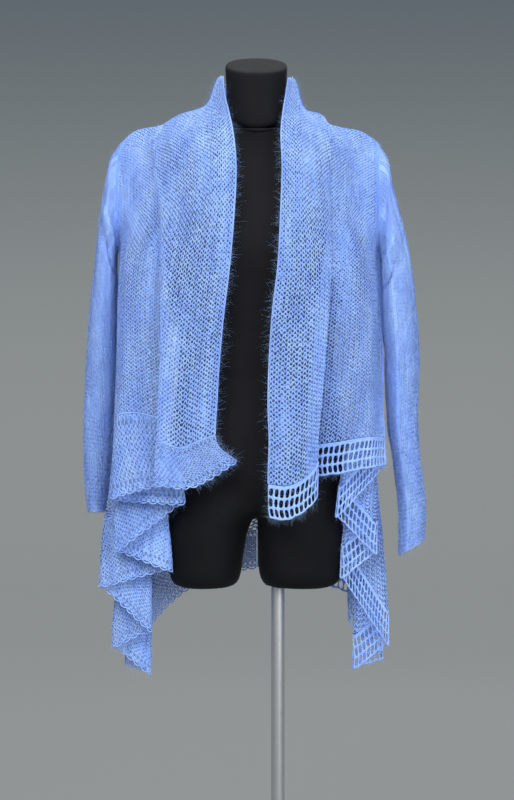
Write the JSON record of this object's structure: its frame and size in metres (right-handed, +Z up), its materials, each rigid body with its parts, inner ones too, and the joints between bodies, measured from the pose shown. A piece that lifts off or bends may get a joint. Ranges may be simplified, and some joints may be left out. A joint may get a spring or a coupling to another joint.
{
  "type": "wrap sweater on a dress form stand",
  "caption": "Open-front knitted wrap sweater with waterfall tails, frill and net hems, hanging on a headless dress form with a pole and round base",
  "frame": {"origin": "centre of the underside of the round base, on the pole's axis, at floor level", "axes": "+Z up along the pole, -Y the way the front of the sweater faces, +X to the right of someone facing it"},
  "size_m": [0.5601, 0.36, 1.568],
  "materials": {
    "blue_mohair_knit": "soft matte mohair knit, light blue",
    "black_form_cover": "matte black stretch cover over the form",
    "brushed_steel": "satin metal tube and plate"
  },
  "bodies": {
    "root": {"front_right": "blue_mohair_knit", "front_left": "blue_mohair_knit", "back": "blue_mohair_knit", "collar": "blue_mohair_knit", "sleeve_right": "blue_mohair_knit", "sleeve_left": "blue_mohair_knit", "frill_front": "blue_mohair_knit", "frill_back": "blue_mohair_knit", "net_front": "blue_mohair_knit", "net_back": "blue_mohair_knit", "torso": "black_form_cover", "neck_block": "black_form_cover", "pole": "brushed_steel", "base": "brushed_steel"}
  },
  "joints": []
}
